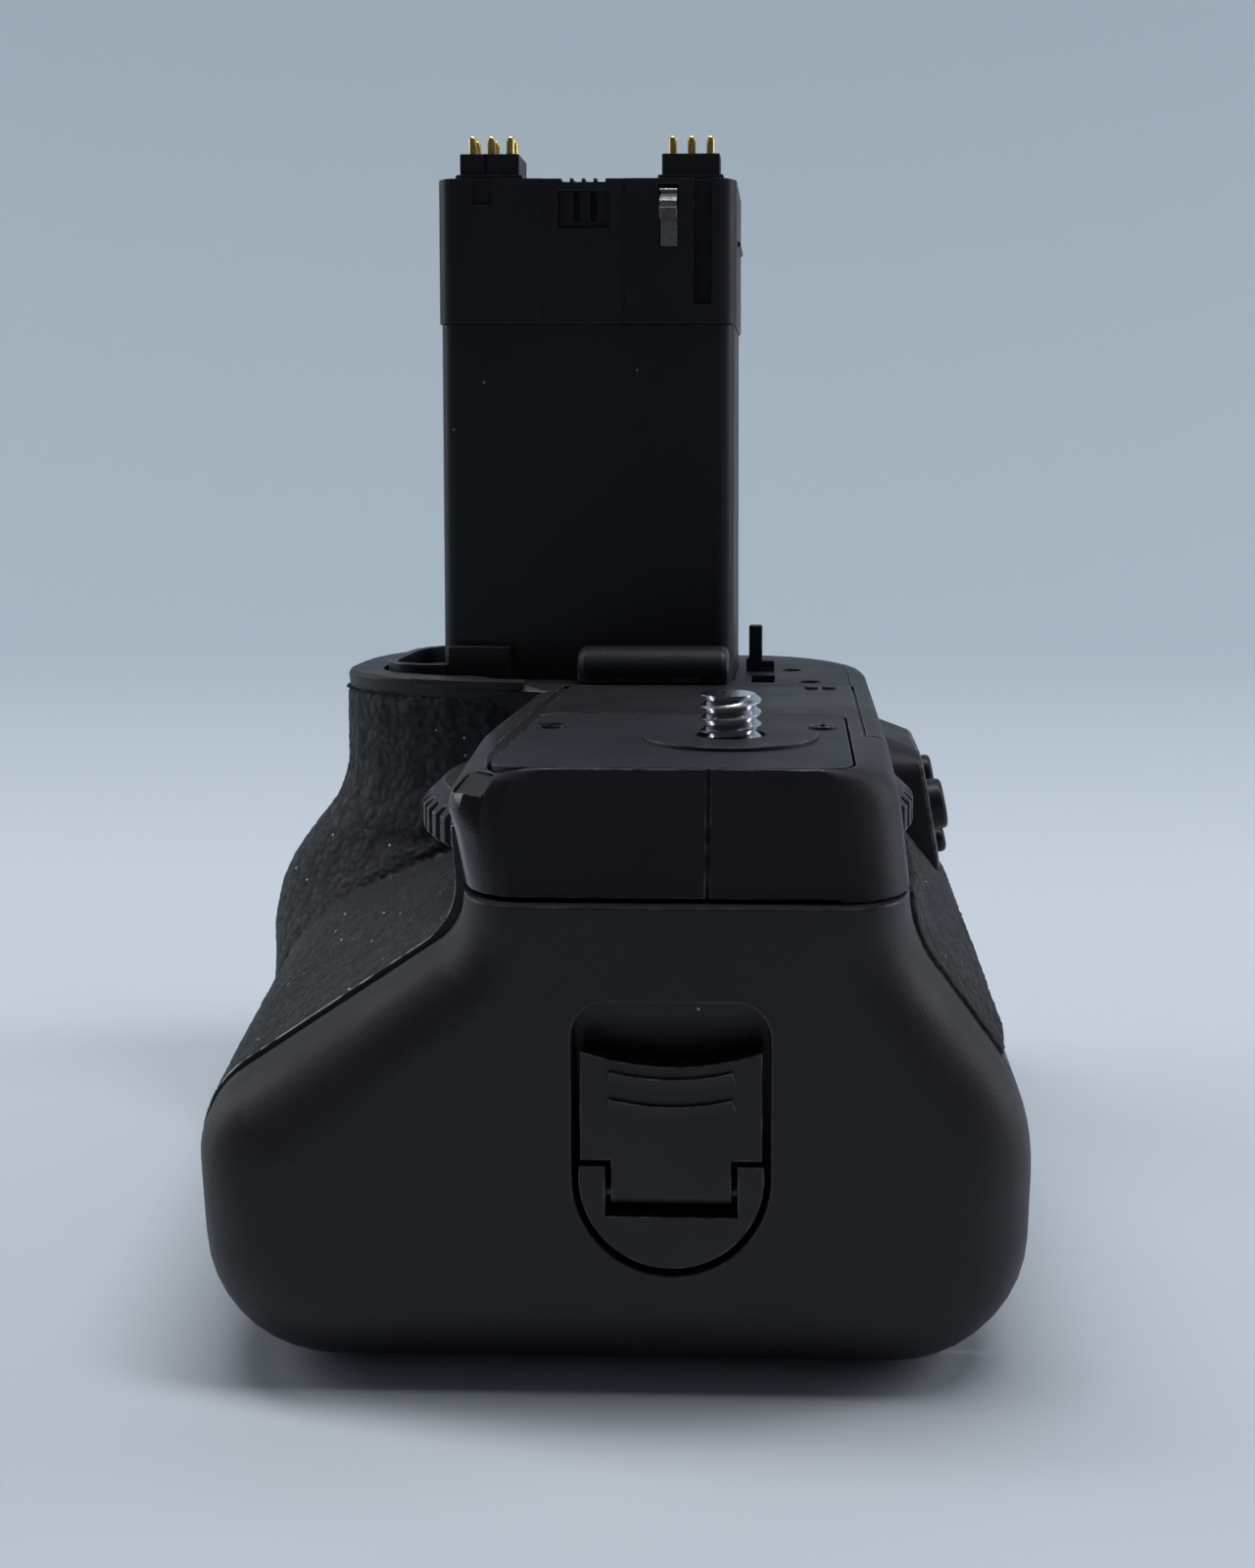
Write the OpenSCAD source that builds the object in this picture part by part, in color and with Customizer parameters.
// Battery grip that screws under a camera body.
// X runs along the grip toward the magazine end cap, Y from the lens side to the back, Z up.
// The origin is the mouth of the tripod socket, straight under the attachment screw.

/* [Casing] */
// Height of the deck above the base
deck_z = 57; // [55:0.5:62]
// Attachment screw axis to the far end
far_len = 79; // [77:0.5:90]
// Attachment screw axis to the end cap seam
seam_len = 14.5; // [14:0.25:16]
// Front edge of the deck
deck_front = 25; // [24.5:0.25:26]
// Rear edge of the deck
deck_rear = 16.2; // [16:0.1:17]
// Parting plane of the casing halves, in front of the screw
parting = 1.3; // [0.9:0.1:1.35]
// Deck to the seam above the end cap
seam_drop = 11.4; // [10.5:0.1:11.8]
// Cap border over the bare casing, to meet the rubber
cap_proud = 0.8; // [0.4:0.1:1.2]
// Open seam between end cap and casing
seam_gap = 0.45; // [0.2:0.05:0.6]
// Deck to the corner where the flare starts
neck_drop = 16.2; // [15.5:0.1:18]
// Radius of the front neck
neck_r = 8; // [4:0.5:9]
// Radius of the rear neck
rear_neck_r = 13.6; // [8:0.2:14]
// Front reach of the flare at the end cap
shoulder_front = 49.5; // [47:0.1:53]
// Deck to the front flare corner
shoulder_drop = 32.9; // [30:0.1:35]
// Radius of the front flare corner
shoulder_r = 8.8; // [5:0.2:11]
// Rear reach of the flare
shoulder_rear = 29.4; // [28:0.1:32]
// Radius of the rear flare corner
rear_shoulder_r = 18; // [10:0.5:20]
// Radius of the bottom edges
foot_r = 12.5; // [8:0.5:14]
// Radius of the deck edge
edge_r = 1.5; // [0.8:0.1:2]
// Radius of the deck edge beside the end block
near_edge_r = 4.4; // [3:0.1:5]
// Length of the end block past the seam, at the deck
block_len = 4.3; // [3.6:0.1:4.6]
// Forward lean of the end block, deck to seam
block_lean = 2.6; // [1.5:0.1:3]
// Sideways rounding of the end block
block_in = 6.5; // [5:0.1:7]

/* [Hand grip bulge] */
// Front reach of the hand grip at the deck
grip_reach = 52.8; // [49:0.1:56]
// Front reach of the bulge
grip_bulge = 62.4; // [58:0.1:66]
// Deck to the bulge corner
bulge_drop = 30.4; // [28:0.1:33]
// Radius of the bulge
bulge_r = 20; // [10:0.5:22]
// Radius of the bulge underside
grip_foot_r = 20; // [12:0.5:22]
// Smooth band above the rubber
rim_drop = 1; // [0.8:0.1:1.6]
// Height of the hand grip's border above the deck
rim_up = 1.2; // [0.8:0.1:1.4]
// Screw axis to the foot of the hand grip wall
wall_x = 36; // [34:0.5:37]
// Length in which the hand grip wall comes out
wall_len = 16; // [13:0.5:18]
// Length of the rounded far end
far_round = 20; // [14:0.5:22]
// Sideways inset of the rounded far end
far_in = 16; // [12:0.5:17]

/* [Rubber] */
// Thickness of the rubber skins
skin_t = 1.2; // [0.8:0.1:1.8]

/* [Deck] */
// Thickness of the deck cover plate
plate_t = 1.6; // [1.2:0.1:1.8]
// Deck cover plate, screw axis to its far edge
plate_far = 17; // [15:0.5:20]
// Deck cover plate, front edge
plate_front = 22; // [20.5:0.25:22.5]
// Deck cover plate, rear edge
plate_rear = 12.1; // [11:0.1:13]
// Radius of the raised disc
disc_r = 9; // [7:0.25:9.5]
// Height of the raised disc
disc_h = 0.4; // [0.2:0.05:0.6]
// Clearance hole radius round the screw
screw_hole_r = 3.6; // [3.45:0.05:4]
// Thickness of the tower plate
tower_plate_t = 2; // [1.6:0.1:2.4]
// Head radius of the small screws
small_head_r = 1.5; // [1.2:0.1:1.8]
// Width of the lip along the rear edge
lip_w = 2.5; // [2.2:0.1:2.8]
// Depth of the moulded seams
seam_deep = 0.4; // [0.2:0.05:0.6]

/* [Attachment drive] */
// Thread radius of the attachment screw
screw_r = 3.175; // [3:0.025:3.3]
// Screw height above the deck
screw_h = 4.6; // [4:0.1:6]
// Radius of the wheel over its ribs
wheel_r = 26.4; // [25.8:0.1:26.8]
// Wheel axis, away from the end cap
wheel_back = 10; // [9.5:0.1:11]
// Wheel axis, in front of the screw
wheel_fore = 7; // [6.5:0.1:7.5]
// Deck to the top of the wheel
wheel_drop = 5.4; // [4.8:0.1:5.6]
// Height of the wheel
wheel_h = 5; // [4.4:0.1:5.2]
// Bevel of the wheel's top edge
wheel_bevel = 2.2; // [1.5:0.1:2.6]
// Depth of the grip ribs
rib_deep = 0.9; // [0.5:0.05:1.2]
// Teeth inside the wheel
ring_teeth = 50; // [48:2:54]
// Teeth of the pinion on the screw
pinion_teeth = 22; // [20:2:24]
// Grip ribs round the wheel
wheel_ribs = 64; // [48:4:72]

/* [Tower] */
// Width of the tower, front to back
tower_w = 38.4; // [36:0.1:39]
// Depth of the tower along the grip
tower_d = 21; // [20:0.1:22]
// Near face of the tower, from the screw
tower_x = 48; // [47.5:0.1:50]
// Rear face of the tower, in front of the screw
tower_y = 1.45; // [1.4:0.05:2]
// Height of the tower above the deck
tower_h = 65.2; // [58:0.1:70]
// Height of the upper cap
tower_cap_h = 18.7; // [16.8:0.1:22]
// Step between cap and sleeve
tower_step = 0.3; // [0.1:0.05:0.4]
// Corner radius of the tower
tower_r = 2.2; // [1:0.1:2.4]
// Wall of the tower
tower_wall = 2.6; // [2.2:0.1:3]
// Pitch of the contact pins
pin_pitch = 2.5; // [2.2:0.05:2.6]
// Radius of the contact pins
pin_r = 0.55; // [0.4:0.05:0.7]
// Pin height above the terminal block
pin_h = 2.6; // [2:0.1:3.5]
// Height of the terminal blocks
block_h = 3.6; // [3:0.1:4.5]
// Height of the low bar beside the tower
bar_h = 4.6; // [4:0.1:5.2]
// Height of the rim round the tower's foot
rim_h = 2.2; // [1.6:0.1:2.8]
// Height of the door post
post_h = 6.3; // [5:0.1:7]

/* [Magazine] */
// Radius of a cell
cell_r = 7.25; // [7.1:0.05:7.3]
// Length of a cell
cell_len = 50.5; // [49:0.1:50.5]
// Wall of the tray
tray_wall = 1.2; // [1:0.1:1.3]
// Floor of the bay above the base
bay_floor = 6.8; // [6.6:0.1:7]
// Depth of the end cap, seam to face
cap_len = 8.5; // [8.2:0.1:10]

/* [Latch] */
// Width of the latch recess
latch_w = 18; // [16.5:0.1:19]
// Deck to the top of the latch recess
latch_drop = 20.6; // [19:0.1:21]
// Height of the latch recess
latch_h = 25.1; // [24:0.1:26]
// Depth of the latch recess
latch_d = 5.6; // [5.4:0.1:6]
// Gap round flap and knob
latch_gap = 0.5; // [0.35:0.05:0.6]
// Thickness of the flap
flap_t = 2.4; // [2.2:0.1:2.6]
// Radius of the hinge pin
hinge_r = 0.7; // [0.6:0.05:0.75]
// Height of the flap's finger ribs
flap_rib_h = 0.4; // [0.2:0.05:0.6]

/* [Controls] */
// Tilt of the rear control panel
panel_tilt = 10; // [6:1:12]
// Length of the rear control panel
panel_w = 26; // [24:0.5:28]
// Height of the rear control panel
panel_h = 18.5; // [18:0.1:19]
// Radius of the upper rear button
upper_r = 2.5; // [2:0.1:2.8]
// Radius of the middle rear button
middle_r = 3.3; // [2.8:0.1:3.5]
// Radius of the lower rear button
lower_r = 1.7; // [1.5:0.1:1.9]
// Running gap round the buttons
button_gap = 0.2; // [0.15:0.05:0.3]
// Radius of the shutter button
shutter_r = 5.6; // [5:0.1:6]
// Radius of the main dial
dial_r = 8; // [7.6:0.1:8.3]
// Width of the main dial
dial_w = 7; // [6:0.1:7.4]
// Radius of the power lever hub
lever_r = 4.6; // [4:0.1:5]

/* [Base] */
// Thickness of the base plate
base_t = 1.6; // [1.2:0.1:2]
// Length of the base plate
base_len = 70; // [66:0.5:72]
// Width of the base plate
base_w = 52; // [48:0.5:54]
// Radius of the tripod socket bore
socket_r = 3.175; // [3:0.025:3.3]
// Depth of the tripod socket
socket_h = 5.4; // [5:0.1:5.6]
// Flange radius of the tripod bushing
bushing_r = 6; // [5.5:0.1:7]

/* [Hidden] */
$fn = 48;

// Clearances: overcut past a surface, pressed seat, loose seat, close seat, running seat
over = 1;
press = 0.02;
slip = 0.1;
snug = 0.05;
run = 0.06;

// Casing sections
seam_z = deck_z - seam_drop;
near_x = seam_len + block_len;
far_x = -far_len;
rear_lean = 1.3;
rear_neck = deck_rear + rear_lean;
neck_front = deck_front - 0.4;
neck_rear_drop = neck_drop - 0.2;
rear_drop = shoulder_drop - 0.9;
edge_land = 2;
rim_over = 0.3;
rim_r = 0.5;
border_in = 5;
border_far = 14.8;
border_run = 0.4;
border_from = 0.2;
border_rise = 0.3;
band_blend = 5;
rim_land = 4.5;
grip_neck_r = 22;
front_draft = 1.5;
grip_draft = 2.5;
rear_draft = 1;
far_split = 20;
far_taper = 1.05;
far_lift = 7;
far_soft = 0.55;
bulge_at = 56;
bulge_span = seam_len + bulge_at;
edge_fade = 16;
far_steps = 7;
wall_steps = 7;
plain_steps = 5;
block_steps = 5;
row_gap = 0.06;
collar_len = 3.6;

// Deck
plate_in = 0.9;
plate_gap = 0.25;
plate_r = 3;
deck_screw_x = 7;
deck_screw_in = 2.5;
deck_screw_ys = [-plate_front + deck_screw_in, plate_rear - deck_screw_in];
head_h = 0.8;
head_drop = 0.9;
deck_head_drop = 0.55;
shank_r = 0.8;
deck_shank = 2.6;
channel_w = 0.9;
seam_w = 0.35;
lip_y = deck_rear - lip_w;
lip_near = 1.2;
trim_x = 5.2;
trim_w = 0.9;
pad_len = 3.2;
pad_w = 2.3;
pad_face = 35;
pad_turn = 40;
pad_fore = 2.2;
pad_in = 2;
pad_drop = 1.7;
stud_r = 0.9;
stud_h = 0.3;
stud_x = 40;
stud_ys = [lip_y - 5, lip_y - 2.8];

// Drive
wheel_gap = 0.45;
wheel_z = deck_z - wheel_drop - wheel_h;
gear_dist = norm([wheel_back, wheel_fore]);
gear_dir = atan2(wheel_fore, wheel_back);
gear_m = 2 * gear_dist / (ring_teeth - pinion_teeth);
ring_r = ring_teeth * gear_m / 2;
pinion_r = pinion_teeth * gear_m / 2;
tooth_out = 0.8;
tooth_in = 1.1;
pressure = 20;
core_r = screw_r - 0.2;
web_t = 1;
web_r = gear_dist + core_r + 6 * slip;
screw_well_r = screw_r + 2;
screw_tip = 0.5;

// Tower
tower_front = -tower_y - tower_w;
tower_far = -tower_x - tower_d;
tower_seat = 4;
tower_seam = deck_z + tower_h - tower_cap_h;
tower_top = deck_z + tower_h;
face_x = -tower_x + tower_step;
plate_near = tower_x - 6;
plate_margin = 4.4;
comb_y = tower_front + 15.6;
comb_w = 6.6;
comb_deep = 1.1;
comb_teeth = 3;
comb_top = 1.6;
comb_low = 6.4;
comb_slot = 0.7;
comb_gap = 0.7;
tooth_w = comb_w / (comb_teeth + 2 - comb_gap);
comb_cut = 0.45;
notch_y = tower_front + 4.4;
notch_w = 2.6;
notch_deep = 0.8;
notch_low = 3.4;
slot_y = -tower_y - 5.2;
slot_w = 2.3;
slot_deep = 1.6;
slot_low = 16.2;
label_w = 10.6;
ridge_r = 0.4;
ridge_low = 7.8;
leaf_y = -tower_y - 9.7;
leaf_w = 2.5;
leaf_deep = 1.3;
leaf_top = 0.8;
leaf_low = 8.8;
leaf_out = 0.9;
leaf_sink = 0.5;
leaf_tip = [0.15, -1.5];
leaf_dip = [-0.4, -2];
leaf_bend = [3, 3.9];
leaf_foot = 5.6;
front_block = tower_front + 6.3;
front_block_half = 3.9;
front_block_deep = 6.4;
rear_block = -tower_y - 5.7;
rear_block_half = 3.8;
rear_block_deep = 3.6;
block_back = 2.2;
block_flange = 0.5;
flange_h = 0.8;
dish = 0.5;
pin_back = 4;
row_pitch = 3;
rim_wall = 1.1;
rim_edge = 0.75;
rim_out = grip_reach - plate_margin - rim_edge + tower_front;
rim_reach = 2.2;
rim_far = 3;
rim_corner = 6;
rim_back = 6;
rim_open = 1;
post_x = tower_x + 12;
post_t = 1.8;
post_heel = 0.4;
post_toe = 3.5;
post_foot = 1.5;
post_y = -tower_y + 1.75;
bar_len = 19.6;
bar_w = 5.6;
bar_r = 2.4;
bar_back_r = 0.6;
tab_w = 8;
tab_in = 1.2;
hole_r = 1.5;
hole_ats = [[-post_x, lip_y - 7.7], [-tower_x + over, lip_y - 5.3]];
door_slot_far = 6;
door_slot_near = 2;
door_slot_in = 0.5;
door_slot_deep = 1.4;

// Magazine bay
cap_x = seam_len + cap_len;
cap_in = 8;
cap_foot = 0.4;
cell_gap = 0.15;
cell_pitch = 2 * cell_r + cell_gap;
cell_side = 0.35;
shelf_t = 0.8;
shelf_play = 0.05;
layer = cell_r + shelf_t / 2 + shelf_play;
tray_half = cell_pitch + cell_r + cell_side + tray_wall;
tray_gap = 0.4;
tray_play = 0.6;
tray_end = 1.8;
tray_front = 2;
tray_lip = 2;
tray_r = 7.8;
back_plate = 0.8;
front_plate = 1.6;
bay_back = 0.8;
bay_mid_y = -4.3;
bay_foot_r = 1.5;
bay_half = tray_half + tray_gap;
bay_top = bay_floor + 4 * cell_r + shelf_t + 2 * tray_gap + tray_play;
bay_len = bay_back + tray_end + back_plate + cell_len + front_plate + tray_front;
bay_x0 = seam_len - bay_len;
tray_x0 = bay_x0 + bay_back;
tray_z0 = bay_floor + tray_gap;
tray_z1 = bay_top - tray_gap;
shelf_z = (bay_floor + bay_top) / 2;
cell_x0 = tray_x0 + tray_end + back_plate;
contact_r = 4;
nub_r = 2.7;
nub_h = 1;
bay_wall = 2.2;
board_t = 1.6;
board_x = bay_x0 - 19.5;
board_front = 33;
board_rear = 8;
board_z0 = 12;
board_room = 2;
terminal_t = 3;
terminal_half = 8;
terminal_up = 5;
terminal_ys = [-5, 0, 5];
terminal_r = 1.2;
terminal_out = 0.6;
lead_half = 2.4;

// Latch
latch_y = -4.5;
latch_top = deck_z - latch_drop;
latch_r = latch_w / 2;
latch_c = latch_top - latch_h + latch_r;
latch_corner = 3.2;
flap_in = 0.1;
knob_in = 0.2;
knob_floor = 0.1;
hinge_x = cap_x - flap_in - flap_t / 2;
hinge_z = latch_c - 1.45;
flap_half = latch_r - latch_gap - 0.2;
flap_top = latch_top - 4.4;
flap_sag = 1.4;
flap_foot = hinge_z + 3.05;
tongue_half = flap_half * 0.66;
tongue_room = 0.9;
pin_seat = 2;
well_top = 2.15;
stem_r = 3;
stem_up = 0.6;
flap_ribs = [3.4, 5.9];
flap_rib_w = 1.25;
flap_rib_r = 24;
flap_rib_half = asin(0.68 * flap_half / flap_rib_r);

// Controls
panel_x = far_x + 23;
panel_y = rear_neck + 5.7;
panel_z = deck_z - 16;
panel_deep = 6.5;
panel_r = 6;
upper_at = [-3, -1.7];
middle_at = [7, 0.7];
lower_at = [2.5, 6.4];
button_root = 3.4;
button_well = 4.6;
button_round = 0.7;
bezel_wall = 2;
bezel_h = 8;
bezel_out = 1;
shutter_z = 26;
shutter_y = -grip_bulge + far_in * far_taper + shutter_r + bezel_wall + 2.6;
shutter_in = 4.2;
shutter_h = 6.9;
dial_x = far_x + 5;
dial_z = 27;
dial_teeth = 24;
dial_notch = 0.7;
dial_room = 0.5;
axle_r = 1.5;
axle_seat = 2.8;
dial_y = shutter_y + shutter_r + bezel_wall + axle_seat + 4 * slip + dial_w / 2;
lever_y = -parting - 6.2;
lever_z = 17;
lever_t = 1.8;
lever_root = 6;
lever_stem = 2;
lever_off = 0.2;

// Base
base_x0 = 8 - base_len;
base_y0 = 14 - base_w;
base_r = 6;
base_screw_in = 5;
base_head_r = 1.8;
base_shank = 3.2;
bushing_cap = 0.4;
bushing_room = 0.15;
base_xs = [base_x0 + base_screw_in, base_x0 + base_len - base_screw_in];
base_ys = [base_y0 + base_screw_in, base_y0 + base_w - base_screw_in];

black = "#202023";
soft = "#2b2b2e";
dark = "#151517";
charcoal = "#3b3c40";
steel = "#b9bcc2";

// Outline tools
function mix(a, b, t) = a + (b - a) * t;
function unit(v) = v / norm(v);
function polar(r, a) = r * [cos(a), sin(a)];
function turn(a) = a > 180 ? a - 360 : (a < -180 ? a + 360 : a);
function room(p, q) = norm([p[0] - q[0], p[1] - q[1]]) * (q[2] > 0 ? 0.5 : 0.93);

// Points of one rounded corner, a lone point where it has no steps
function corner(p, q, s, n) =
    n == 0 ? [[q[0], q[1]]] :
    let (a = unit([p[0] - q[0], p[1] - q[1]]), b = unit([s[0] - q[0], s[1] - q[1]]),
        half = acos(max(-1, min(1, a * b))) / 2,
        t = min(q[2] / tan(half), room(q, p), room(q, s)),
        r = t * tan(half),
        c = [q[0], q[1]] + unit(a + b) * r / sin(half),
        p0 = [q[0], q[1]] + a * t - c, p1 = [q[0], q[1]] + b * t - c,
        a0 = atan2(p0[1], p0[0]), da = turn(atan2(p1[1], p1[0]) - a0))
    [for (k = [0 : n]) c + polar(r, a0 + da * k / n)];

function outline(c, steps) = [for (i = [0 : len(c) - 1])
    each corner(c[(i + len(c) - 1) % len(c)], c[i], c[(i + 1) % len(c)], steps[i])];

module rounded(c, n = 6) polygon(outline(c, [for (p = c) p[2] > 0 ? n : 0]));

module slab(x0, x1, y0, y1, r, h) linear_extrude(h)
    rounded([[x0, y0, r], [x1, y0, r], [x1, y1, r], [x0, y1, r]]);

module box(x0, x1, y0, y1, z0, z1) translate([x0, y0, z0]) cube([x1 - x0, y1 - y0, z1 - z0]);

module rod(r, h, at, dir = [0, 0, 0]) translate(at) rotate(dir) cylinder(r = r, h = h);

// Extrusion along the grip from one station to another, drawn in Y and Z
module along(x0, x1) translate([x0, 0, 0]) rotate([90, 0, 90]) linear_extrude(x1 - x0) children();

// Casing sections: the front half runs from the deck down, the rear half from the base up
function front_corners(u, v, e) = let (border = mix(deck_front - border_in, grip_reach - border_far, u),
    up = rim_up * max(0, min(1, (u - border_from) / border_rise))) [
    [-parting, deck_z, 0],
    [-border, deck_z, 0],
    [-border - border_run, deck_z + up, 0],
    [-mix(deck_front, grip_reach + rim_over, u), deck_z + up, mix(e, rim_r, u)],
    [-mix(deck_front, grip_reach, u), deck_z - mix(e + edge_land, rim_drop, min(1, band_blend * u)), 0],
    [-mix(neck_front, grip_reach, u), deck_z - mix(seam_drop, rim_drop + rim_land, u), 0],
    [-mix(neck_front, grip_reach, u), deck_z - neck_drop, mix(neck_r, grip_neck_r, u)],
    [-mix(shoulder_front, grip_bulge, v), deck_z - mix(shoulder_drop, bulge_drop, v),
        mix(shoulder_r, bulge_r, v)],
    [-mix(shoulder_front - front_draft, grip_bulge - grip_draft, v), 0, mix(foot_r, grip_foot_r, v)],
    [-parting, 0, 0]];
front_steps = [0, 0, 0, 4, 0, 0, 8, 8, 9, 0];
rim_j = 8;
seam_j = 9;
skin_foot_j = 31;

function rear_corners(e) = [
    [-parting, 0, 0],
    [shoulder_rear - rear_draft, 0, foot_r],
    [shoulder_rear, deck_z - rear_drop, rear_shoulder_r],
    [rear_neck, deck_z - neck_rear_drop, rear_neck_r],
    [rear_neck, seam_z, 0],
    [deck_rear, deck_z, e],
    [-parting, deck_z, 0]];
rear_steps = [0, 9, 8, 8, 0, 4, 0];
rear_skin_j = 18;
rear_seam_j = 28;
rear_skin_row = 3;

// Far end: every corner drawn in toward the parting plane, the bottom raised
function far_corner(p, side) = let (high = p[1] > deck_z - far_split)
    [p[0] == -parting ? p[0] : p[0] - side * far_in * (high ? 1 : far_taper),
     p[1] == 0 ? far_lift : p[1], p[2] * (high ? 1 : far_soft)];

function swell(x) = max(0, min(1, (seam_len - x) / bulge_span));
function edge(x) = mix(near_edge_r, edge_r, min(1, (seam_len - x) / edge_fade));

// Stations [x, wall, bulge, far blend, edge radius] from the far end to the seam
stations = concat(
    [for (k = [0 : far_steps]) let (a = 90 * k / far_steps)
        [far_x + far_round * (1 - cos(a)), 1, 1, 1 - sin(a), edge_r]],
    [for (k = [0 : wall_steps]) let (a = 90 * k / wall_steps, x = -wall_x - wall_len * (1 - sin(a)))
        [x, cos(a), swell(x), 0, edge_r]],
    [for (k = [1 : plain_steps]) let (x = mix(-wall_x, seam_len, k / (plain_steps + 1)))
        [x, 0, swell(x), 0, edge(x)]],
    [for (x = [seam_len - collar_len, seam_len - seam_gap]) [x, 0, swell(x), 0, edge(x)]]);
last_row = len(stations) - 1;
wall_row = far_steps + 1 + wall_steps;

function raise(x, pts) = [for (p = pts) [x, p[0], p[1]]];
function blend(c, side, t) = [for (p = c) mix(p, far_corner(p, side), t)];

front_rows = [for (s = stations)
    raise(s[0], outline(blend(front_corners(s[1], s[2], s[4]), -1, s[3]), front_steps))];
rear_rows = [for (s = stations)
    raise(s[0], outline(blend(rear_corners(s[4]), 1, s[3]), rear_steps))];

// End block above the cap: the lower points gather on the seam line
function gather_front(row) = let (n = len(row) - 1) [for (j = [0 : n]) j <= seam_j ? row[j] :
    [row[j][0], mix(-neck_front, -parting, (j - seam_j) / (n - seam_j)), seam_z]];
function gather_rear(row) = [for (j = [0 : len(row) - 1]) j >= rear_seam_j ? row[j] :
    [row[j][0], mix(-parting, rear_neck, j / rear_seam_j), seam_z]];

function block_rows(row, side) = [for (k = [0 : block_steps]) let (a = 90 * k / block_steps)
    [for (p = row)
        [p[0] + row_gap + sin(a) * (block_len + seam_gap + block_lean * (deck_z - p[2]) / seam_drop),
         -parting + (p[1] + parting) * (1 - block_in * (1 - cos(a)) / side), p[2]]]];

// Closed skin over rows of points that run from far to near, with a middle point in each end
module loft(rows, mid0, mid1) {
    m = len(rows);
    n = len(rows[0]);
    points = concat([for (row = rows) each row], [mid0, mid1]);
    walls = [for (i = [0 : m - 2], j = [0 : n - 1]) let (k = (j + 1) % n)
        each [[i * n + j, (i + 1) * n + k, i * n + k], [i * n + j, (i + 1) * n + j, (i + 1) * n + k]]];
    ends = [for (j = [0 : n - 1]) let (k = (j + 1) % n)
        each [[m * n, j, k], [m * n + 1, (m - 1) * n + k, (m - 1) * n + j]]];
    polyhedron(points, concat(walls, ends), convexity = 8);
}

// Rubber skin: a patch of the rows and the same patch moved out along its normals
function normal(rows, i, j) = unit(cross(rows[i][j + 1] - rows[i][j - 1],
    rows[min(i + 1, len(rows) - 1)][j] - rows[max(i - 1, 0)][j]));

module skin(rows, i0, i1, j0, j1, t) {
    m = i1 - i0 + 1;
    n = j1 - j0 + 1;
    o = m * n;
    inner = [for (i = [i0 : i1], j = [j0 : j1]) rows[i][j]];
    outer = [for (i = [i0 : i1], j = [j0 : j1]) rows[i][j] + t * normal(rows, i, j)];
    top = [for (i = [0 : m - 2], j = [0 : n - 2]) let (a = o + i * n + j)
        each [[a, a + n + 1, a + 1], [a, a + n, a + n + 1]]];
    low = [for (i = [0 : m - 2], j = [0 : n - 2]) let (a = i * n + j)
        each [[a, a + 1, a + n + 1], [a, a + n + 1, a + n]]];
    side_j = [for (i = [0 : m - 2]) let (a = i * n, b = i * n + n - 1) each
        [[a, a + n, o + a + n], [a, o + a + n, o + a], [b, o + b + n, b + n], [b, o + b, o + b + n]]];
    side_i = [for (j = [0 : n - 2]) let (a = j, b = (m - 1) * n + j) each
        [[a, o + a + 1, a + 1], [a, o + a, o + a + 1], [b, b + 1, o + b + 1], [b, o + b + 1, o + b]]];
    polyhedron(concat(inner, outer), concat(top, low, side_j, side_i), convexity = 6);
}

// Rear control panel, local z out of its face and local y down
module on_panel(x = 0, down = 0, out = 0) translate([panel_x, panel_y, panel_z])
    rotate([panel_tilt - 90, 0, 0]) translate([x, down, out]) children();

module panel_prism(grow, deep, high) on_panel(0, 0, -deep)
    slab(-panel_w / 2 - grow, panel_w / 2 + grow, -panel_h / 2 - grow, panel_h / 2 + grow,
        panel_r + grow, deep + high);

// Prism of the magazine bay's section
module bay_prism(x0, x1, half, z0, z1, r) along(x0, x1)
    rounded([[bay_mid_y - half, z0, bay_foot_r], [bay_mid_y + half, z0, bay_foot_r],
        [bay_mid_y + half, z1, r], [bay_mid_y - half, z1, r]]);

// Outline of the tower plate with a margin
module tower_plate_outline(grow) offset(delta = grow) let (front = grip_reach - plate_margin,
    far = far_x + plate_margin - 0.9) rounded([[-plate_near, lip_y, 2], [-plate_near, -front + 10, 6],
    [-plate_near - 5, -front, 9], [far, -front, 16], [far, lip_y, 15]]);

module tower_box(grow, z0, z1) box(tower_far - grow, -tower_x + grow, tower_front - grow,
    -tower_y + grow, z0, z1);

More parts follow.
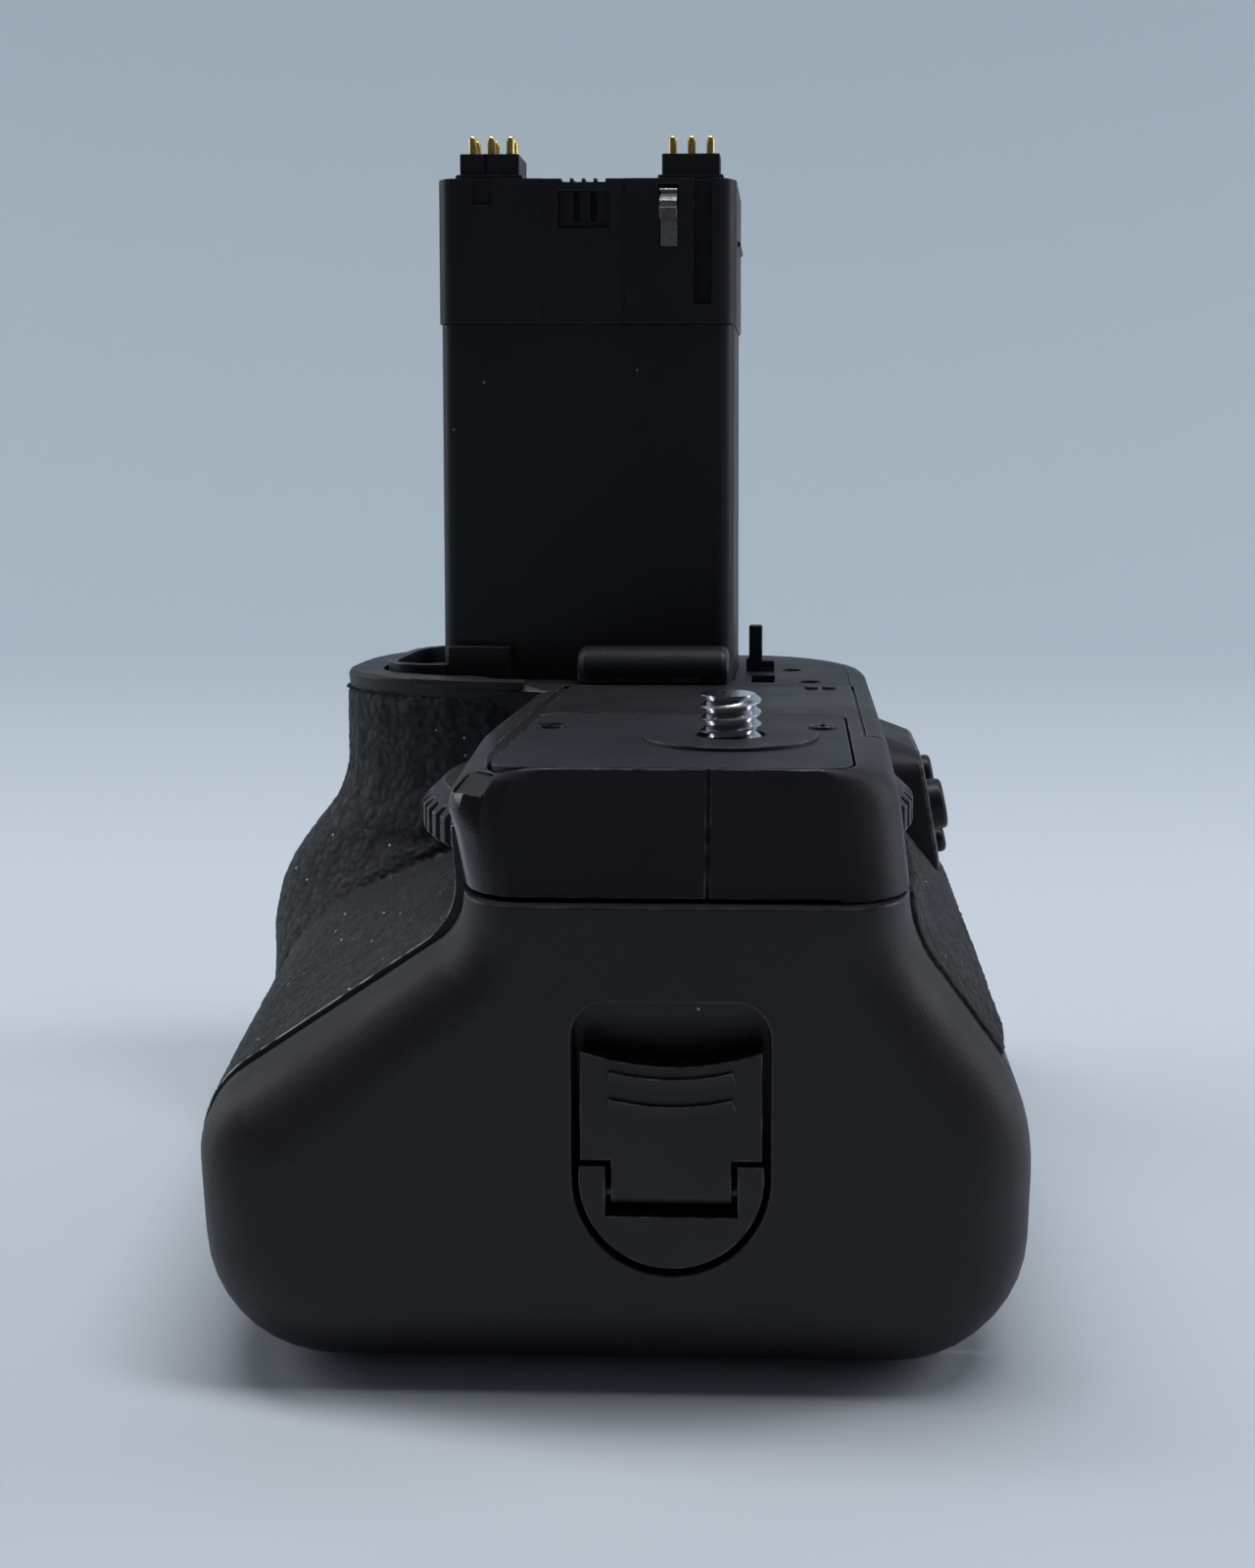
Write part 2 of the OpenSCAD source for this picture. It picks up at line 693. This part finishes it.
// Hollows shared by the two casing halves
module hollows() {
    bay_prism(bay_x0, seam_len + over, bay_half, bay_floor, bay_top, tray_r + tray_gap / 2);
    rod(wheel_r + wheel_gap, wheel_h + wheel_gap, [-wheel_back, -wheel_fore, wheel_z - wheel_gap / 2]);
    translate([0, 0, deck_z - plate_t]) slab(-plate_far - plate_gap, near_x - plate_in + plate_gap,
        -plate_front - plate_gap, plate_rear + plate_gap, plate_r, plate_t + over);
    rod(screw_well_r, wheel_drop, [0, 0, deck_z - wheel_drop]);
    translate([0, 0, deck_z - tower_plate_t]) linear_extrude(tower_plate_t + 2 * over)
        tower_plate_outline(slip);
    box(board_x - over, bay_x0 - bay_wall, -board_front - over, board_rear + over, board_z0 - board_room,
        deck_z - board_z0 + board_room + over);
    box(bay_x0 - terminal_t, bay_x0 + over, bay_mid_y - terminal_half - slip,
        bay_mid_y + terminal_half + slip, shelf_z - terminal_up - slip, shelf_z + terminal_up + slip);
    rod(bushing_r + snug, socket_h + bushing_cap + bushing_room + over, [0, 0, -over]);
    translate([0, 0, -over]) slab(base_x0 - slip, base_x0 + base_len + slip, base_y0 - slip,
        base_y0 + base_w + slip, base_r + slip, base_t + over + snug);
    for (y = deck_screw_ys)
        rod(shank_r + snug, deck_shank + over, [-deck_screw_x, y,
            deck_z - deck_head_drop - deck_shank - slip]);
    for (x = base_xs, y = base_ys) rod(shank_r + slip, base_shank + over, [x, y, base_t - over]);
}

// Moulded seams of the deck: channel beside the cover plate, trim at the front edge, corner pad
module front_seams() {
    box(-plate_near, near_x - plate_in + slip, -plate_front - channel_w, -plate_front, deck_z - seam_deep,
        deck_z + over);
    box(-trim_x - seam_w, -trim_x, -deck_front - over, -deck_front + trim_w, deck_z - seam_deep,
        deck_z + over);
    box(-trim_x - seam_w, -trim_x, -deck_front - over, -deck_front + seam_w, deck_z - wheel_drop + slip,
        deck_z + over);
    translate([seam_len + pad_fore, -deck_front + pad_in, deck_z - pad_drop]) rotate([0, 0, pad_turn])
        rotate([90 - pad_face, 0, 0]) translate([-pad_len / 2, -pad_w / 2, -seam_deep])
        cube([pad_len, pad_w, seam_deep + over]);
}

// Half of the groove down the end block where the casing halves meet, toward one side
module parting_groove(side) translate([near_x, -parting, deck_z])
    rotate([0, 180 - atan2(block_lean, seam_drop), 0]) translate([-over, min(0, side * seam_w / 2), -over])
    cube([over + seam_deep, seam_w / 2, seam_drop + 3 * over]);

// Seam of the lip along the rear edge, out to the tower plate
module rear_seams() {
    box(-plate_near, -lip_near, lip_y, lip_y + seam_w, deck_z - seam_deep, deck_z + over);
    box(-lip_near - seam_w, -lip_near, lip_y, deck_rear + over, deck_z - seam_deep, deck_z + over);
}

module front_shell() color(black) difference() {
    loft(concat(front_rows, block_rows(gather_front(front_rows[last_row]), deck_front - parting)),
        [far_x, -deck_front + edge_land, deck_z / 2],
        [near_x + block_lean / 2, -deck_front / 2, deck_z - seam_drop / 2]);
    hollows();
    front_seams();
    parting_groove(-1);
    tower_box(slip, deck_z - tower_seat, deck_z + over);
    rod(shutter_r + bezel_wall + snug, bezel_h, [far_x - bezel_out, shutter_y, shutter_z], [0, 90, 0]);
    rod(shutter_r - bezel_out, bezel_h + 4, [far_x - bezel_out, shutter_y, shutter_z], [0, 90, 0]);
    box(far_x - over, dial_x + dial_r + dial_room, dial_y - dial_w / 2 - dial_room,
        dial_y + dial_w / 2 + dial_room, dial_z - dial_r - dial_room, dial_z + dial_r + dial_room);
    rod(axle_r + press, dial_w + 2 * axle_seat + 2 * slip,
        [dial_x, dial_y - dial_w / 2 - axle_seat - slip, dial_z], [-90, 0, 0]);
    rod(lever_stem + slip, lever_root + 2 * over, [far_x - over, lever_y, lever_z], [0, 90, 0]);
}

module rear_shell() color(black) difference() {
    loft(concat(rear_rows, block_rows(gather_rear(rear_rows[last_row]), rear_neck + parting)),
        [far_x, deck_rear / 4, deck_z / 2],
        [near_x + block_lean / 2, deck_rear / 2, deck_z - seam_drop / 2]);
    hollows();
    rear_seams();
    parting_groove(1);
    panel_prism(slip, panel_deep, shoulder_rear);
    for (y = stud_ys) rod(stud_r + press, over + over, [-stud_x, y, deck_z - over]);
}

// Deck
module deck_plate() color(charcoal) difference() {
    union() {
        translate([0, 0, deck_z - plate_t])
            slab(-plate_far, near_x - plate_in, -plate_front, plate_rear, plate_r, plate_t);
        rod(disc_r, plate_t + disc_h, [0, 0, deck_z - plate_t]);
    }
    rod(screw_hole_r, plate_t + 2 * over, [0, 0, deck_z - plate_t - over]);
    for (y = deck_screw_ys) {
        rod(shank_r + slip, plate_t + 2 * over, [-deck_screw_x, y, deck_z - plate_t - over]);
        rod(small_head_r + slip, deck_head_drop + over, [-deck_screw_x, y, deck_z - deck_head_drop]);
    }
}

// Small screw with a cross slot, its head's underside at the origin
module small_screw(r, shank) difference() {
    union() {
        cylinder(r = r, h = head_h);
        translate([0, 0, -shank]) cylinder(r = shank_r, h = shank + slip);
    }
    for (a = [0, 90]) rotate([0, 0, a]) translate([-r * 0.6, -r / 8, head_h / 2])
        cube([r * 1.2, r / 4, head_h]);
}

module deck_screws() color("#55565a") for (y = deck_screw_ys)
    translate([-deck_screw_x, y, deck_z - deck_head_drop]) small_screw(small_head_r, deck_shank);

module deck_studs() color("#8a8c90") for (y = stud_ys) {
    rod(stud_r, over, [-stud_x, y, deck_z - over]);
    translate([-stud_x, y, deck_z]) intersection() {
        sphere(r = stud_r);
        cylinder(r = stud_r, h = stud_h);
    }
}

module tower_plate() color(charcoal) difference() {
    translate([0, 0, deck_z - tower_plate_t]) linear_extrude(tower_plate_t) tower_plate_outline(0);
    tower_box(snug, deck_z - tower_seat - over, deck_z + over);
    for (at = hole_ats) rod(hole_r, tower_plate_t + 2 * over, [at[0], at[1], deck_z - tower_plate_t - over]);
    box(-tower_x - door_slot_far, -tower_x + door_slot_near, post_y + door_slot_in, post_y + 2 * post_t,
        deck_z - door_slot_deep, deck_z + over);
}

// Tower
module tower_slab(grow, z0, z1) translate([0, 0, z0]) slab(tower_far - grow, -tower_x + grow,
    tower_front - grow, -tower_y + grow, max(tower_r + grow, 0.4), z1 - z0);

module tower_sleeve() color(black) difference() {
    tower_slab(0, deck_z - tower_seat, tower_seam);
    tower_slab(-tower_wall, deck_z - tower_seat + tower_wall, tower_seam + over);
}

// A pocket in the near face of the cap: y from the first edge, down from the top
module face_pocket(y, w, deep, z0, z1) box(face_x - deep, face_x + over, y, y + w, tower_top - z0,
    tower_top - z1);

// A cut right across the top of the cap, as wide as given
module cube_across(w) translate([tower_far - over, 0, 0]) cube([tower_d + 2 * over, w, over]);

module tower_cap() color(black) {
    difference() {
        tower_slab(tower_step, tower_seam, tower_top);
        tower_slab(-tower_wall, tower_seam - over, tower_top - tower_wall);
        face_pocket(comb_y, comb_w, comb_deep, comb_low, comb_top);
        for (k = [0 : comb_teeth]) translate([0, comb_y + (k + 1 - comb_gap) * tooth_w,
            tower_top - comb_cut]) cube_across(tooth_w * comb_gap);
        for (k = [1, 2]) face_pocket(comb_y + (comb_w * k - comb_slot) / 3, comb_slot, 2 * comb_deep,
            comb_low - comb_deep, comb_top);
        face_pocket(notch_y, notch_w, notch_deep, notch_low, -over);
        face_pocket(slot_y, slot_w, slot_deep, slot_low, -over);
        face_pocket(leaf_y, leaf_w, leaf_deep, leaf_low, leaf_top);
        face_pocket(comb_y + (comb_w - label_w) / 2, label_w, tower_step / 2, tower_cap_h + over, -over);
    }
    rod(ridge_r, tower_d / 2, [tower_far + tower_d / 4, -tower_y + tower_step, tower_top - ridge_low],
        [0, 90, 0]);
}

// Terminal block with a flanged foot, a dished top and a split down its near face
module terminal_body(mid, half, deep, split) difference() {
    union() {
        box(-tower_x - block_back - deep, -tower_x - block_back, mid - half, mid + half, tower_top,
            tower_top + block_h);
        box(-tower_x - block_back - deep - block_flange, -tower_x - block_back + block_flange,
            mid - half - block_flange, mid + half + block_flange, tower_top, tower_top + flange_h);
    }
    box(-tower_x - block_back - deep + dish, -tower_x - block_back - dish, mid - half + dish,
        mid + half - dish, tower_top + block_h - dish, tower_top + block_h + over);
    if (split) box(-tower_x - block_back - seam_w, -tower_x, mid - 2 * seam_w, mid - seam_w,
        tower_top + flange_h, tower_top + block_h + over);
}

module terminal_block_front() color(dark)
    terminal_body(front_block, front_block_half, front_block_deep, true);
module terminal_block_rear() color(dark)
    terminal_body(rear_block, rear_block_half, rear_block_deep, false);

module contact_pin(x, y) translate([-tower_x - x, y, tower_top + block_h - dish]) {
    cylinder(r = pin_r, h = pin_h + dish - pin_r);
    translate([0, 0, pin_h + dish - pin_r]) intersection() {
        sphere(r = pin_r);
        cylinder(r = pin_r, h = pin_r);
    }
}

module terminal_pins() color("#d8b25a") for (k = [-1 : 1]) {
    for (x = [pin_back, pin_back + row_pitch]) contact_pin(x, front_block + k * pin_pitch);
    contact_pin(pin_back, rear_block + k * pin_pitch);
}

// Spring leaf bent out of its pocket, drawn in side view
module leaf_contact() color("#c9ccd0") translate([face_x, leaf_y + leaf_w - slip, tower_top])
    rotate([90, 0, 0]) linear_extrude(leaf_w - 2 * slip)
    polygon([[-leaf_deep, -leaf_top - slip], [-leaf_sink, -leaf_top - slip], leaf_tip, leaf_dip,
        [leaf_out, -leaf_bend[0]], [leaf_out, -leaf_bend[1]], [-leaf_sink, -leaf_foot],
        [-leaf_sink, -leaf_low + slip], [-leaf_deep, -leaf_low + slip]]);

module tower_bar() color(soft) translate([0, -tower_y - 4 * slip, deck_z]) rotate([90, 0, 0])
    linear_extrude(bar_len) rounded([[-tower_x + snug, 0, 0], [-tower_x + bar_w, 0, 0],
        [-tower_x + bar_w, bar_h, bar_r], [-tower_x + snug, bar_h, bar_back_r]]);

module tower_tab() color(soft) box(-tower_x + snug, -tower_x + rim_reach + slip, tower_front + tab_in,
    tower_front + tab_in + tab_w, deck_z, deck_z + bar_h - slip);

// Low rim round the front foot of the tower, open where the tower stands
module rim_outline(near, out, far, r, back) rounded([[-tower_x + snug, tower_front - snug, 0],
    [-tower_x + snug, tower_front + tab_in - snug, 0], [-tower_x + near, tower_front + tab_in - snug, 0],
    [-tower_x + near, tower_front - out, r],
    [tower_far - far, tower_front - out, r + rim_far], [tower_far - far, tower_front + back, 0],
    [tower_far - snug, tower_front + back, 0], [tower_far - snug, tower_front - snug, 0]]);

module tower_rim() color(soft) translate([0, 0, deck_z]) linear_extrude(rim_h) difference() {
    rim_outline(rim_reach, rim_out, rim_far, rim_corner, rim_back);
    rim_outline(rim_reach - rim_wall, rim_out - rim_wall, rim_far - rim_wall, rim_corner - rim_wall,
        rim_back - rim_open);
}

// Spring post of the battery chamber's door, with its foot
module door_post() color(dark) {
    box(-post_x, -post_x + post_t, post_y, post_y + post_t, deck_z, deck_z + post_h);
    box(-post_x, -post_x + post_t, post_y - post_heel, post_y + slip, deck_z, deck_z + post_t);
    box(-post_x, -post_x + post_t, post_y + post_t - slip, post_y + post_toe, deck_z,
        deck_z + post_foot);
}

// Rubber
module front_skin() color(soft) {
    skin(front_rows, wall_row, last_row, seam_j, skin_foot_j, skin_t);
    skin(front_rows, last_row - 1, last_row, seam_j - 1, seam_j, skin_t);
}
module hand_grip_skin() color(soft) skin(front_rows, 0, wall_row, rim_j, skin_foot_j, skin_t);
module rear_skin() color(soft) difference() {
    skin(rear_rows, rear_skin_row, last_row, rear_skin_j, rear_seam_j, skin_t);
    panel_prism(2 * slip, 2 * panel_deep, shoulder_rear);
}

// Base
module base_plate() color(black) difference() {
    slab(base_x0, base_x0 + base_len, base_y0, base_y0 + base_w, base_r, base_t);
    rod(bushing_r + snug, base_t + 2 * over, [0, 0, -over]);
    for (x = base_xs, y = base_ys) {
        rod(shank_r + slip, base_t + 2 * over, [x, y, -over]);
        rod(base_head_r + slip, head_drop + over, [x, y, -over]);
    }
}

module base_screws() color("#6d6f74") for (x = base_xs, y = base_ys)
    translate([x, y, head_drop]) mirror([0, 0, 1]) small_screw(base_head_r, base_shank);

module tripod_bushing() color(steel) difference() {
    rod(bushing_r, socket_h + bushing_cap, [0, 0, 0]);
    rod(socket_r, socket_h + over, [0, 0, -over]);
}

// Rear controls
module rear_panel() color(black) difference() {
    panel_prism(0, panel_deep, 0);
    for (b = [[upper_at, upper_r], [middle_at, middle_r], [lower_at, lower_r]])
        on_panel(b[0][0], b[0][1], -button_well) cylinder(r = b[1] + button_gap, h = button_well + over);
}

module push_button(at, r, out) on_panel(at[0], at[1], -button_root) rotate_extrude()
    rounded([[0, 0, 0], [r, 0, 0], [r, button_root + out, button_round], [0, button_root + out, 0]], 4);

module button_upper() color(dark) push_button(upper_at, upper_r, 1.7);
module button_middle() color(dark) push_button(middle_at, middle_r, 2.1);
module button_lower() color(dark) push_button(lower_at, lower_r, 1.6);

// Far end controls
module shutter_bezel() color(dark) translate([far_x - bezel_out, shutter_y, shutter_z]) rotate([0, 90, 0])
    difference() {
        cylinder(r = shutter_r + bezel_wall, h = bezel_h);
        translate([0, 0, -over]) cylinder(r = shutter_r + button_gap, h = bezel_h);
        translate([0, 0, -over]) cylinder(r = shutter_r - bezel_wall, h = bezel_h + 2 * over);
    }

module shutter_button() color(black) translate([far_x + shutter_in, shutter_y, shutter_z])
    rotate([0, -90, 0]) rotate_extrude() rounded([[0, 0, 0], [shutter_r, 0, 0],
        [shutter_r, shutter_h, 1.2], [0, shutter_h - 0.4, 0]], 5);

module main_dial() color(dark) translate([dial_x, dial_y - dial_w / 2, dial_z]) rotate([-90, 0, 0])
    difference() {
        linear_extrude(dial_w) polygon([for (k = [0 : dial_teeth - 1], s = [0, 0.5])
            let (a = (k + s) * 360 / dial_teeth, r = s > 0 ? dial_r - dial_notch : dial_r)
            each [polar(r, a - 62 / dial_teeth), polar(r, a + 62 / dial_teeth)]]);
        translate([0, 0, -over]) cylinder(r = axle_r + run, h = dial_w + 2 * over);
    }

module dial_axle() color(steel) rod(axle_r, dial_w + 2 * axle_seat, [dial_x,
    dial_y - dial_w / 2 - axle_seat, dial_z], [-90, 0, 0]);

module power_lever() color(dark) translate([far_x - lever_off, lever_y, lever_z]) rotate([0, -90, 0]) {
    cylinder(r = lever_r, h = lever_t);
    translate([0, 0, -lever_root]) cylinder(r = lever_stem, h = lever_root + snug);
    linear_extrude(lever_t + 0.8) rounded([[-1.4, -1.6, 0.8], [-1.4, lever_r + 3.6, 0.8],
        [1.4, lever_r + 3.6, 0.8], [1.4, -1.6, 0.8]], 4);
}

// Electronics
module control_board() color("#1f6b45") box(board_x, board_x + board_t, -board_front, board_rear, board_z0,
    deck_z - board_z0);

module bay_terminal() color("#6b6c70") {
    box(bay_x0 - terminal_t, bay_x0, bay_mid_y - terminal_half, bay_mid_y + terminal_half,
        shelf_z - terminal_up, shelf_z + terminal_up);
    for (y = terminal_ys)
        rod(terminal_r, terminal_out + slip, [bay_x0 - slip, bay_mid_y + y, shelf_z], [0, 90, 0]);
    box(board_x + board_t, bay_x0 - terminal_t + slip, bay_mid_y - lead_half, bay_mid_y + lead_half,
        shelf_z - lead_half, shelf_z + lead_half);
}

// Attachment drive: involute teeth, a ring inside the wheel and a pinion on the screw
function involute(a) = tan(a) * 180 / PI - a;
function flank(teeth, r, slack) = let (rb = teeth * gear_m / 2 * cos(pressure))
    90 / teeth - slack + involute(pressure) - (r > rb ? involute(acos(rb / r)) : 0);
function gear(teeth, low, high, slack) = let (rs = [for (k = [0 : 3]) mix(low, high, k / 3)])
    [for (i = [0 : teeth - 1]) let (c = 360 * i / teeth) each concat(
        [for (r = rs) polar(r, c - flank(teeth, r, slack))],
        [for (k = [3 : -1 : 0]) polar(rs[k], c + flank(teeth, rs[k], slack))])];

module attachment_wheel() color(soft) translate([-wheel_back, -wheel_fore, wheel_z]) difference() {
    intersection() {
        linear_extrude(wheel_h) polygon([for (k = [0 : wheel_ribs - 1])
            let (w = 360 / wheel_ribs, a = k * w, root = wheel_r - rib_deep)
            each [polar(wheel_r, a - w * 0.22), polar(wheel_r, a + w * 0.22),
                polar(root, a + w * 0.36), polar(root, a + w * 0.64)]]);
        rotate_extrude() polygon([[0, 0], [wheel_r - 0.4, 0], [wheel_r + slip, 0.6],
            [wheel_r + slip, wheel_h - wheel_bevel], [wheel_r - wheel_bevel, wheel_h], [0, wheel_h]]);
    }
    cylinder(r = web_r, h = wheel_h + over);
    rotate([0, 0, gear_dir]) translate([0, 0, -over]) linear_extrude(wheel_h - web_t + over)
        polygon(gear(ring_teeth, ring_r - tooth_out * gear_m, ring_r + tooth_in * gear_m, -0.25));
}

module screw_pinion() color("#d2d0c4") translate([0, 0, wheel_z + slip]) difference() {
    rotate([0, 0, gear_dir]) linear_extrude(wheel_h - web_t - 3 * slip)
        polygon(gear(pinion_teeth, pinion_r - tooth_in * gear_m, pinion_r + tooth_out * gear_m, 0.5));
    translate([0, 0, -over]) cylinder(r = core_r, h = wheel_h + 2 * over);
}

module attachment_screw() color("#d5d7da") {
    rod(core_r, deck_z + disc_h - wheel_z, [0, 0, wheel_z]);
    rod(screw_r, screw_h - screw_tip - disc_h, [0, 0, deck_z + disc_h]);
    translate([0, 0, deck_z + screw_h - screw_tip])
        cylinder(r1 = screw_r, r2 = screw_r - screw_tip, h = screw_tip);
}

// Magazine: section of the end cap at the seam, and how far each corner moves in to the face
cap_full = [[shoulder_rear - rear_draft, cap_foot, foot_r],
    [shoulder_rear, deck_z - rear_drop, rear_shoulder_r],
    [rear_neck, deck_z - neck_rear_drop, rear_neck_r], [rear_neck, seam_z - seam_gap, 0],
    [-neck_front, seam_z - seam_gap, 0], [-neck_front, deck_z - neck_drop + cap_proud, neck_r],
    [-shoulder_front - cap_proud, deck_z - shoulder_drop + cap_proud / 2, shoulder_r],
    [-shoulder_front - cap_proud + front_draft, cap_foot, foot_r]];
cap_move = [[-cap_in, cap_in, -4], [-cap_in, -4.5, -6], [-block_in, -2.5, 0], [-block_in, 0, 0],
    [block_in, 0, 0], [block_in, -3.5, 0], [cap_in + 0.5, -6, -3], [cap_in, cap_in, -4]];
cap_steps = [9, 8, 8, 0, 0, 8, 8, 9];
cap_rings = 6;
cap_rows = [for (k = [0 : cap_rings]) let (a = 90 * k / cap_rings)
    raise(seam_len + cap_len * sin(a), outline(cap_full + cap_move * (1 - cos(a)), cap_steps))];

module latch_outline() {
    translate([latch_y, latch_c]) circle(r = latch_r);
    rounded([[latch_y - latch_r, latch_c, 0], [latch_y + latch_r, latch_c, 0],
        [latch_y + latch_r, latch_top, latch_corner], [latch_y - latch_r, latch_top, latch_corner]]);
}

// Recess of the latch, ramped above the flap for a fingertip; the ramp is drawn in side view
module latch_recess() intersection() {
    along(cap_x - latch_d, cap_x + over) latch_outline();
    translate([0, latch_y + latch_w, 0]) rotate([90, 0, 0]) linear_extrude(2 * latch_w)
        polygon([[seam_len, 0], [cap_x + 2 * over, 0], [cap_x + 2 * over, latch_top + over],
            [cap_x - well_top, latch_top + over], [cap_x - well_top, latch_top],
            [cap_x - latch_d, flap_top - flap_sag], [seam_len, flap_top - flap_sag]]);
}

module end_cap() color(black) difference() {
    loft(cap_rows, [seam_len, latch_y, latch_c], [cap_x, latch_y, latch_c]);
    latch_recess();
    rod(stem_r + press, cap_len + 2 * over, [seam_len - over, latch_y, latch_c], [0, 90, 0]);
}

module latch_knob() color(soft) difference() {
    union() {
        along(cap_x - latch_d + knob_floor, cap_x - knob_in) intersection() {
            translate([latch_y, latch_c]) circle(r = latch_r - latch_gap);
            translate([latch_y - latch_r, latch_c - latch_r])
                square([latch_w, flap_foot - latch_gap - latch_c + latch_r]);
        }
        rod(stem_r, cap_len - latch_d + stem_up, [seam_len, latch_y, latch_c], [0, 90, 0]);
    }
    box(hinge_x - flap_t / 2 - latch_gap, cap_x + over, latch_y - tongue_half - latch_gap,
        latch_y + tongue_half + latch_gap, hinge_z - flap_t / 2 - tongue_room, flap_foot + over);
    hinge_rod(hinge_r + press, tongue_half + latch_gap + pin_seat + slip);
}

// A rod on the latch's hinge line, reaching as far to each side
module hinge_rod(r, half) rod(r, 2 * half, [hinge_x, latch_y - half, hinge_z], [-90, 0, 0]);

module hinge_pin() color(steel) hinge_rod(hinge_r, tongue_half + latch_gap + pin_seat);

// Curved finger rib with a sharp top edge, turned about a line in front of the flap
module flap_rib(drop) translate([hinge_x + flap_t / 2, latch_y, flap_top - drop + flap_rib_r])
    rotate([0, 90, 0]) rotate([0, 0, -flap_rib_half]) rotate_extrude(angle = 2 * flap_rib_half)
    polygon([[flap_rib_r, -slip], [flap_rib_r, flap_rib_h], [flap_rib_r + flap_rib_w, 0],
        [flap_rib_r + flap_rib_w, -slip]]);

module latch_flap() color(soft) difference() {
    union() {
        along(hinge_x - flap_t / 2, hinge_x + flap_t / 2) {
            polygon(concat([[latch_y - flap_half, flap_foot], [latch_y + flap_half, flap_foot]],
                [for (k = [0 : 12]) let (t = 1 - k / 6)
                    [latch_y + flap_half * t, flap_top - flap_sag * (1 - t * t)]]));
            translate([latch_y - tongue_half, hinge_z])
                square([2 * tongue_half, flap_foot - hinge_z + over]);
        }
        hinge_rod(flap_t / 2, tongue_half);
        for (drop = flap_ribs) flap_rib(drop);
    }
    hinge_rod(hinge_r + run, latch_r);
}

module magazine_tray() color(black) union() {
    box(tray_x0, seam_len, bay_mid_y - tray_half, bay_mid_y + tray_half, shelf_z - shelf_t / 2,
        shelf_z + shelf_t / 2);
    for (s = [-1, 1]) translate([0, bay_mid_y + s * (tray_half - tray_wall / 2), 0])
        box(tray_x0, seam_len, -tray_wall / 2, tray_wall / 2, tray_z0 + tray_lip, tray_z1 - tray_r - slip);
    bay_prism(tray_x0, tray_x0 + tray_end, tray_half, tray_z0, tray_z1, tray_r);
    bay_prism(seam_len - tray_front, seam_len, tray_half, tray_z0, tray_z1, tray_r);
}

// Places of the six cells: three side by side above the shelf and three below
module each_cell() for (k = [-1 : 1], s = [-1, 1])
    translate([0, bay_mid_y + k * cell_pitch, shelf_z + s * layer]) children();

module battery_cells() color(steel) each_cell() {
    rod(cell_r, cell_len - nub_h, [cell_x0, 0, 0], [0, 90, 0]);
    rod(nub_r, cell_len, [cell_x0, 0, 0], [0, 90, 0]);
}

module tray_contacts() color("#c9ccd0") {
    each_cell() {
        rod(contact_r, back_plate, [cell_x0 - back_plate, 0, 0], [0, 90, 0]);
        rod(contact_r, front_plate, [cell_x0 + cell_len, 0, 0], [0, 90, 0]);
    }
    for (y = terminal_ys) rod(terminal_r + 0.4, bay_back - terminal_out - snug,
        [bay_x0 + terminal_out + snug, bay_mid_y + y, shelf_z], [0, 90, 0]);
}

front_shell();
rear_shell();
deck_plate();
deck_screws();
deck_studs();
tower_plate();
tower_sleeve();
tower_cap();
terminal_block_front();
terminal_block_rear();
terminal_pins();
leaf_contact();
tower_bar();
tower_tab();
tower_rim();
door_post();
front_skin();
hand_grip_skin();
rear_skin();
base_plate();
base_screws();
tripod_bushing();
rear_panel();
shutter_bezel();
dial_axle();
control_board();
bay_terminal();
attachment_wheel();
attachment_screw();
screw_pinion();
end_cap();
magazine_tray();
battery_cells();
tray_contacts();
latch_knob();
hinge_pin();
latch_flap();
button_upper();
button_middle();
button_lower();
shutter_button();
main_dial();
power_lever();
